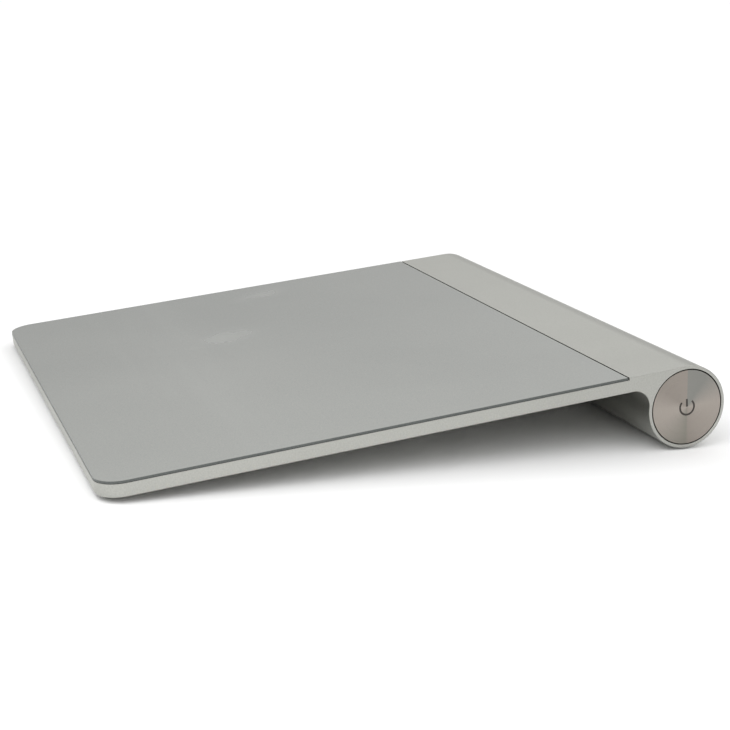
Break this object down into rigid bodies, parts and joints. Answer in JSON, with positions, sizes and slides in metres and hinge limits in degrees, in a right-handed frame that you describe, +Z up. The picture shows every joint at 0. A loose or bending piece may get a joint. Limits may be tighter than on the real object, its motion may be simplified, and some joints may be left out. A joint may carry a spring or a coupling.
{
  "type": "wireless trackpad",
  "caption": "Thin aluminium trackpad with a full-width glass touch surface that flows into a round battery barrel with a power button at one end and a coin-slot cap at the other.",
  "frame": {"origin": "on the table, under the middle of the part's outline", "axes": "+X to the right of the person using it, along the barrel; +Y back towards the barrel; +Z up from the table"},
  "size_m": [0.13, 0.131, 0.0181],
  "materials": {
    "blasted_aluminium": "fine bead-blasted, clear anodised",
    "spun_aluminium": "spun, with fine concentric turning marks",
    "silver_glass": "satin etched glass over a silver backing, opaque",
    "bonding_tape": "matt foam tape",
    "circuit_board": "solder mask over glass fibre",
    "flat_cable": "amber polyimide film",
    "black_moulding": "black moulding compound",
    "white_moulding": "natural engineering plastic",
    "small_components": "fired ceramic",
    "tinned_steel": "bright tinned",
    "contact_brass": "rolled, slightly bright",
    "cell_sleeve": "plain dark sleeve over a metal can",
    "foot_rubber": "matt rubber"
  },
  "bodies": {
    "chassis": {"body_shell": "blasted_aluminium", "touch_glass": "silver_glass", "glass_tape": "bonding_tape", "sensor_board": "circuit_board", "sensor_flex": "flat_cable", "logic_board": "circuit_board", "touch_controller": "black_moulding", "radio_chip": "black_moulding", "shield_can": "tinned_steel", "crystal": "tinned_steel", "chip_antenna": "white_moulding", "sensor_connector": "white_moulding", "power_connector": "white_moulding", "click_connectors": "white_moulding", "board_passives": "small_components", "board_screws": "tinned_steel", "click_flex_left": "flat_cable", "click_flex_right": "flat_cable", "switch_bridge_left": "tinned_steel", "switch_bridge_right": "tinned_steel", "bridge_screws": "tinned_steel", "click_switch_left": "black_moulding", "click_switch_right": "black_moulding", "battery_flex": "flat_cable", "button_carrier": "white_moulding", "positive_contact": "contact_brass", "power_switch": "black_moulding", "cell_left": "cell_sleeve", "cell_right": "cell_sleeve", "rear_foot_left": "foot_rubber", "rear_foot_right": "foot_rubber"},
    "button": {"power_button": "spun_aluminium", "button_clip": "tinned_steel", "switch_plunger": "white_moulding"},
    "cap_carriage": {"cap_contact": "contact_brass", "cap_spring": "tinned_steel"},
    "cap": {"battery_cap": "spun_aluminium"},
    "left_foot": {"front_foot_left": "foot_rubber", "foot_plunger_left": "white_moulding", "click_actuator_left": "white_moulding"},
    "right_foot": {"front_foot_right": "foot_rubber", "foot_plunger_right": "white_moulding", "click_actuator_right": "white_moulding"}
  },
  "joints": [
    {"name": "power_press", "type": "slide", "parent": "chassis", "child": "button", "axis": [-1, 0, 0], "range_m": [0, 0.0005], "stiffness_N_per_m": 1500, "springref_m": -0.001},
    {"name": "cap_travel", "type": "slide", "parent": "chassis", "child": "cap_carriage", "axis": [-1, 0, 0], "range_m": [0, 0.003]},
    {"name": "cap_turn", "type": "hinge", "parent": "cap_carriage", "child": "cap", "pos_m": [-0.065, 0.05666, 0.00925], "axis": [-1, 0, 0], "range_deg": [0, 1080]},
    {"name": "left_click", "type": "slide", "parent": "chassis", "child": "left_foot", "axis": [0, -0.114, 0.9935], "range_m": [0, 0.0003], "stiffness_N_per_m": 2000, "springref_m": -0.0005},
    {"name": "right_click", "type": "slide", "parent": "chassis", "child": "right_foot", "axis": [0, -0.114, 0.9935], "range_m": [0, 0.0003], "stiffness_N_per_m": 2000, "springref_m": -0.0005}
  ],
  "couplings": [
    {"joint": "cap_travel", "follows": "cap_turn", "m_per_rad": 0.00015915}
  ]
}
